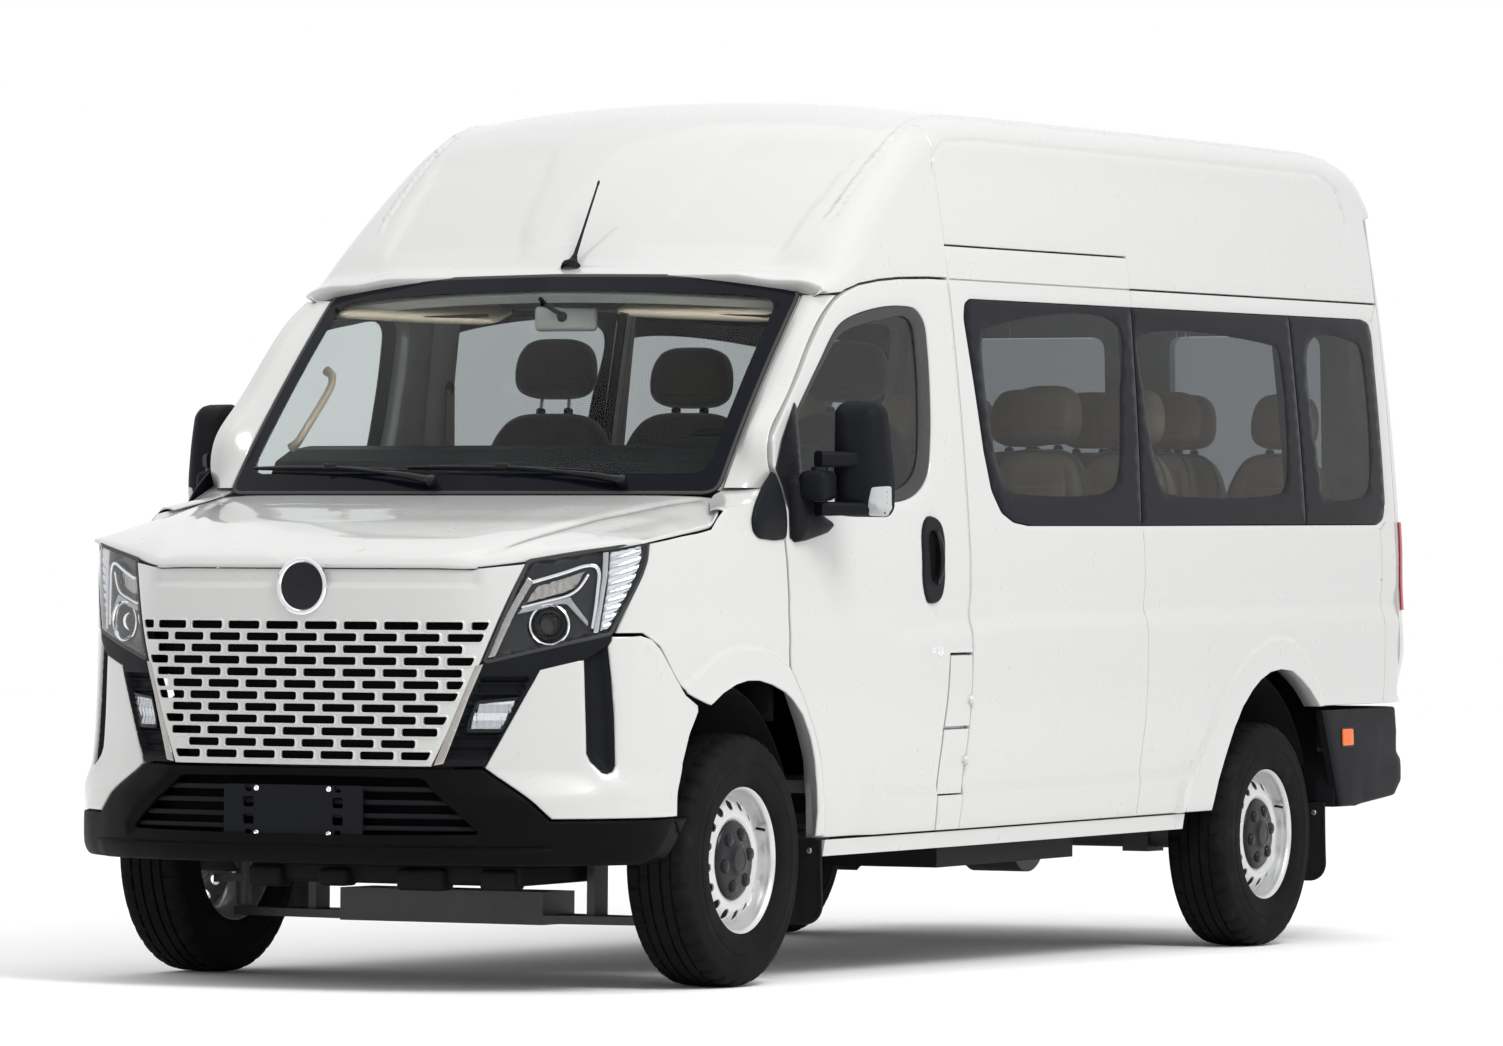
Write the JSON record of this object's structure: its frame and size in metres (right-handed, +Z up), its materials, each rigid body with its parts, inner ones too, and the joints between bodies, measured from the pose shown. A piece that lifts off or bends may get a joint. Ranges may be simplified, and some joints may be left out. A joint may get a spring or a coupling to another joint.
{
  "type": "minibus",
  "caption": "High-roof passenger minibus: hinged cab and rear doors, fixed sliding side door, bonnet, filler flaps, steered front wheels, glazed sides and seats inside.",
  "frame": {"origin": "centre of the bounding box at ground level", "axes": "+X to the vehicle's left, +Y to its rear, +Z up; it stands on its four wheels at Z 0"},
  "size_m": [2.3494, 5.7333, 2.6303],
  "materials": {
    "white_paint": "gloss",
    "clear_glass": "clear",
    "tinted_glass": "dark tint",
    "dark_plastic": "satin, fine grain",
    "lamp_clear": "clear moulded lens",
    "lamp_red": "gloss lens",
    "underbody_black": "satin",
    "cast_metal": "rough",
    "steel": "dull",
    "floor_grey": "matte",
    "wheel_silver": "satin silver",
    "tyre_rubber": "matte",
    "rubber_black": "matte",
    "seat_fabric": "woven with leather sides",
    "seat_leather": "smooth"
  },
  "bodies": {
    "body": {"a_pillars": "white_paint", "antenna": "dark_plastic", "bulkhead": "dark_plastic", "bumper_corners": "white_paint", "chassis_frame": "underbody_black", "dashboard": "dark_plastic", "engine_block": "cast_metal", "exhaust": "steel", "floor_pan": "floor_grey", "fog_lamp_housings": "dark_plastic", "front_bumper": "dark_plastic", "front_panel": "white_paint", "front_seats": "seat_fabric", "front_suspension": "underbody_black", "front_wheelhouses": "dark_plastic", "front_wings": "white_paint", "fuel_tank": "underbody_black", "headlamps": "lamp_clear", "mud_flaps": "rubber_black", "passenger_seats": "seat_leather", "plate_bracket": "dark_plastic", "rear_axle": "underbody_black", "rear_bumper": "dark_plastic", "rear_pillars": "white_paint", "rear_wheelhouses": "dark_plastic", "roof": "white_paint", "side_glass_left": "tinted_glass", "side_glass_right": "tinted_glass", "side_panel_left": "white_paint", "side_panel_right": "white_paint", "side_strips": "white_paint", "sliding_door": "white_paint", "steering_column": "dark_plastic", "tail_lamps": "lamp_red", "windscreen": "clear_glass", "wipers": "dark_plastic"},
    "steering_wheel": {"steering_wheel": "dark_plastic"},
    "bonnet": {"bonnet": "white_paint"},
    "front_door_left": {"front_door_left": "white_paint", "door_glass_left": "clear_glass", "mirror_left": "dark_plastic"},
    "front_door_right": {"front_door_right": "white_paint", "door_glass_right": "clear_glass", "mirror_right": "dark_plastic"},
    "rear_door_left": {"rear_door_left": "white_paint", "rear_glass_left": "tinted_glass"},
    "rear_door_right": {"rear_door_right": "white_paint", "rear_glass_right": "tinted_glass"},
    "filler_flap_upper": {"filler_flap_upper": "white_paint"},
    "filler_flap_lower": {"filler_flap_lower": "white_paint"},
    "knuckle_left": {"knuckle_left": "underbody_black"},
    "knuckle_right": {"knuckle_right": "underbody_black"},
    "wheel_front_left": {"tyre_front_left": "tyre_rubber", "rim_front_left": "wheel_silver"},
    "wheel_front_right": {"tyre_front_right": "tyre_rubber", "rim_front_right": "wheel_silver"},
    "wheel_rear_left": {"tyre_rear_left": "tyre_rubber", "rim_rear_left": "wheel_silver"},
    "wheel_rear_right": {"tyre_rear_right": "tyre_rubber", "rim_rear_right": "wheel_silver"}
  },
  "joints": [
    {"name": "steer_left", "type": "hinge", "parent": "body", "child": "knuckle_left", "pos_m": [0.712, -1.909, 0.358], "axis": [0, 0, 1], "range_deg": [-35, 35]},
    {"name": "steer_right", "type": "hinge", "parent": "body", "child": "knuckle_right", "pos_m": [-0.712, -1.909, 0.358], "axis": [0, 0, 1], "range_deg": [-35, 35]},
    {"name": "steering_wheel_turn", "type": "hinge", "parent": "body", "child": "steering_wheel", "pos_m": [0.43, -1.05423, 1.43229], "axis": [0, 0.7806, 0.6251], "range_deg": [-490, 490]},
    {"name": "bonnet_hinge", "type": "hinge", "parent": "body", "child": "bonnet", "pos_m": [0, -1.94453, 1.45161], "axis": [-1, 0, 0], "range_deg": [0, 50]},
    {"name": "front_door_left_hinge", "type": "hinge", "parent": "body", "child": "front_door_left", "pos_m": [0.964, -1.7509, 0.9839], "axis": [0, 0.012, -0.9999], "range_deg": [0, 70]},
    {"name": "front_door_right_hinge", "type": "hinge", "parent": "body", "child": "front_door_right", "pos_m": [-0.964, -1.7509, 0.9839], "axis": [0, -0.012, 0.9999], "range_deg": [0, 70]},
    {"name": "rear_door_left_hinge", "type": "hinge", "parent": "body", "child": "rear_door_left", "pos_m": [0.777, 2.79277, 1.53846], "axis": [0, 0.012, -0.9999], "range_deg": [0, 170]},
    {"name": "rear_door_right_hinge", "type": "hinge", "parent": "body", "child": "rear_door_right", "pos_m": [-0.777, 2.79277, 1.53846], "axis": [0, -0.012, 0.9999], "range_deg": [0, 170]},
    {"name": "filler_flap_upper_hinge", "type": "hinge", "parent": "body", "child": "filler_flap_upper", "pos_m": [0.982, -0.54695, 0.82833], "axis": [0, -0.012, 0.9999], "range_deg": [0, 100]},
    {"name": "filler_flap_lower_hinge", "type": "hinge", "parent": "body", "child": "filler_flap_lower", "pos_m": [0.975, -0.54443, 0.61835], "axis": [0, -0.012, 0.9999], "range_deg": [0, 100]},
    {"name": "wheel_front_left_spin", "type": "hinge", "parent": "knuckle_left", "child": "wheel_front_left", "pos_m": [0.829, -1.909, 0.358], "axis": [1, 0, 0], "continuous": true},
    {"name": "wheel_front_right_spin", "type": "hinge", "parent": "knuckle_right", "child": "wheel_front_right", "pos_m": [-0.829, -1.909, 0.358], "axis": [1, 0, 0], "continuous": true},
    {"name": "wheel_rear_left_spin", "type": "hinge", "parent": "body", "child": "wheel_rear_left", "pos_m": [0.844, 1.691, 0.358], "axis": [1, 0, 0], "continuous": true},
    {"name": "wheel_rear_right_spin", "type": "hinge", "parent": "body", "child": "wheel_rear_right", "pos_m": [-0.844, 1.691, 0.358], "axis": [1, 0, 0], "continuous": true}
  ],
  "couplings": [
    {"joint": "steer_right", "follows": "steer_left", "ratio": 1},
    {"joint": "steering_wheel_turn", "follows": "steer_left", "ratio": 14}
  ]
}
